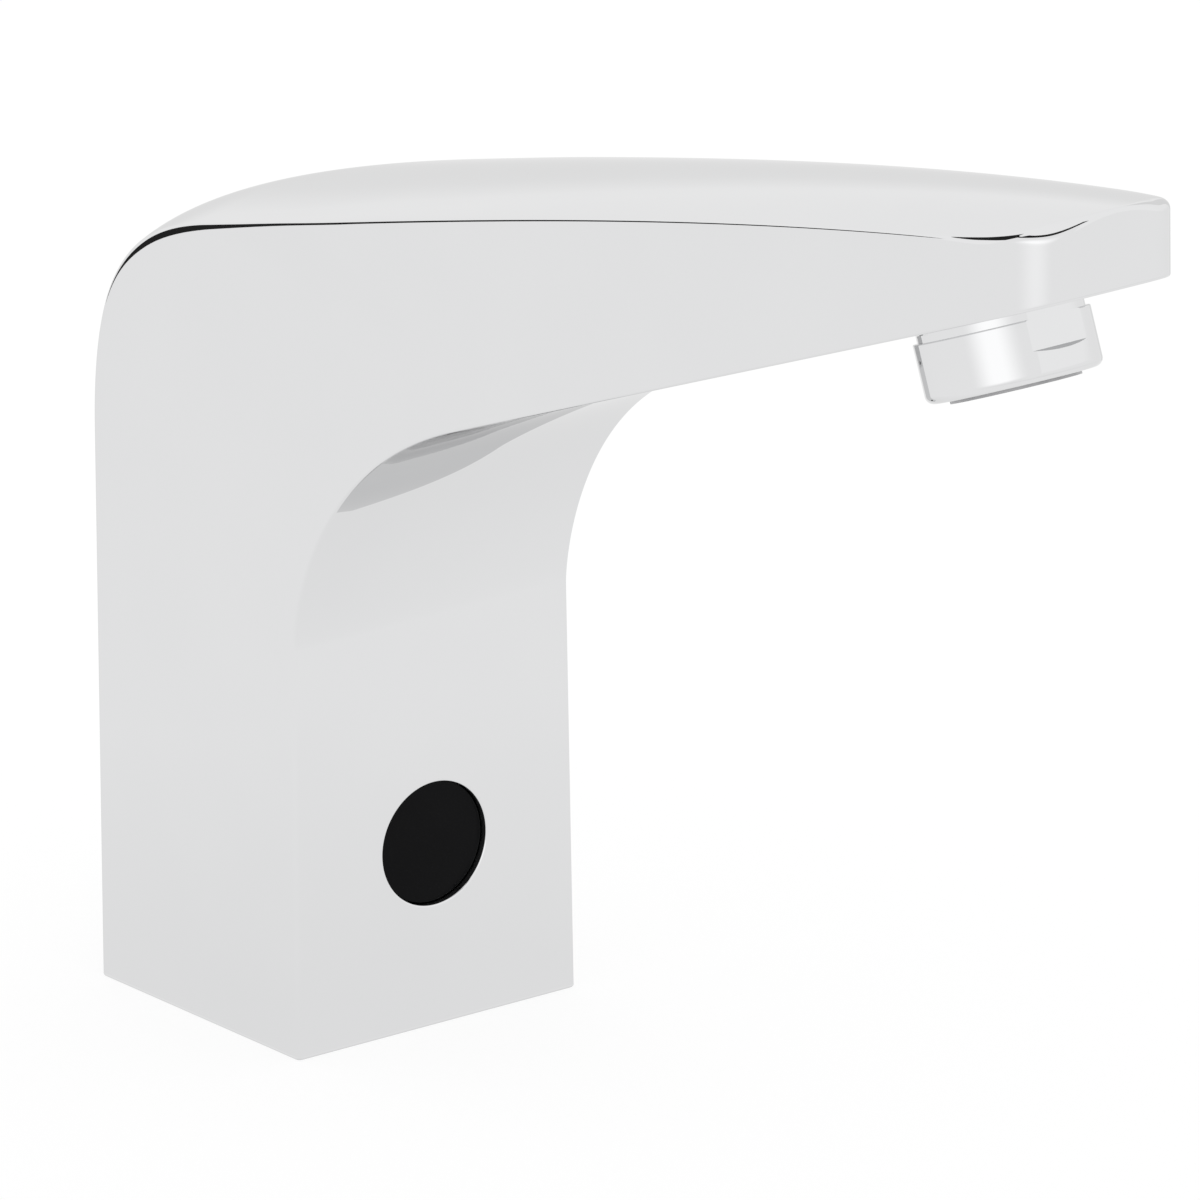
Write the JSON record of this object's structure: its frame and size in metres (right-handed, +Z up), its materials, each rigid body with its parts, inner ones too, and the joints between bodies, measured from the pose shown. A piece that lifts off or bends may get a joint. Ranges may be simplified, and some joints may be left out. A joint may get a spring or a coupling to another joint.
{
  "type": "sensor tap",
  "caption": "Deck-mounted infrared sensor tap with a rising wedge-shaped spout, a screw-in aerator and a solenoid valve inside its hollow column.",
  "frame": {"origin": "centre of the foot on the deck, at the level of the foot's underside", "axes": "+Z up; -Y from the column towards the spout's nose; +X to the right of a person who stands at the basin in front of the spout and looks along +Y"},
  "size_m": [0.052, 0.2212, 0.1677],
  "materials": {
    "polished_chrome": "mirror polish",
    "plain_steel": "plain",
    "bare_brass": "turned",
    "black_rubber": "matt",
    "black_plastic": "moulded",
    "white_plastic": "moulded",
    "grey_plastic": "moulded",
    "magnetic_steel": "ground",
    "copper_wire": "enamelled winding",
    "green_board": "solder mask",
    "dark_window": "polished, passes infrared only",
    "dark_eye": "clear dark epoxy"
  },
  "bodies": {
    "tap_body": {"body_shell": "polished_chrome", "base_plate": "plain_steel", "base_plate_screws": "plain_steel", "deck_seal": "black_rubber", "inlet_connector": "bare_brass", "inlet_filter": "plain_steel", "inlet_seal": "black_rubber", "check_valve_body": "white_plastic", "check_valve_spring": "plain_steel", "valve_body": "white_plastic", "valve_screws": "plain_steel", "diaphragm": "black_rubber", "valve_bonnet": "bare_brass", "bonnet_screws": "plain_steel", "armature_tube": "plain_steel", "armature_stop": "magnetic_steel", "plunger_spring": "plain_steel", "coil_bobbin": "black_plastic", "coil_winding": "copper_wire", "coil_yoke": "magnetic_steel", "coil_nut": "plain_steel", "outlet_tube": "bare_brass", "outlet_tube_seals": "black_rubber", "sensor_window": "dark_window", "window_gasket": "black_rubber", "sensor_housing": "black_plastic", "ir_emitter": "dark_eye", "ir_receiver": "dark_eye", "sensor_board": "green_board", "sensor_back_cover": "black_plastic", "carrier_bracket": "plain_steel", "bracket_screws": "plain_steel", "cable_gland": "black_plastic", "coil_lead": "black_plastic"},
    "check_poppet": {"check_valve_poppet": "white_plastic"},
    "valve_core": {"diaphragm_core": "white_plastic"},
    "valve_plunger": {"solenoid_plunger": "magnetic_steel"},
    "aerator_cartridge": {"aerator_insert": "grey_plastic", "aerator_screen": "plain_steel", "flow_regulator": "white_plastic", "aerator_washer": "black_rubber"},
    "aerator_cap": {"aerator_housing": "polished_chrome"}
  },
  "joints": [
    {"name": "poppet_lift", "type": "slide", "parent": "tap_body", "child": "check_poppet", "axis": [0, 0, 1], "range_m": [0, 0.0025], "stiffness_N_per_m": 100, "springref_m": -0.002, "deforming": ["check_valve_spring"]},
    {"name": "plunger_lift", "type": "slide", "parent": "tap_body", "child": "valve_plunger", "axis": [0, 0, 1], "range_m": [0, 0.0018], "stiffness_N_per_m": 300, "springref_m": -0.003, "deforming": ["plunger_spring"]},
    {"name": "core_lift", "type": "slide", "parent": "tap_body", "child": "valve_core", "axis": [0, 0, 1], "range_m": [0, 0.00144]},
    {"name": "aerator_travel", "type": "slide", "parent": "tap_body", "child": "aerator_cartridge", "axis": [0, -0.3577, -0.9339], "range_m": [0, 0.006]},
    {"name": "aerator_turn", "type": "hinge", "parent": "aerator_cartridge", "child": "aerator_cap", "pos_m": [0, -0.1652, 0.14526], "axis": [0, -0.3577, -0.9339], "range_deg": [0, 2160]}
  ],
  "couplings": [
    {"joint": "core_lift", "follows": "plunger_lift", "ratio": 0.8},
    {"joint": "aerator_travel", "follows": "aerator_turn", "m_per_rad": 0.00015915}
  ]
}
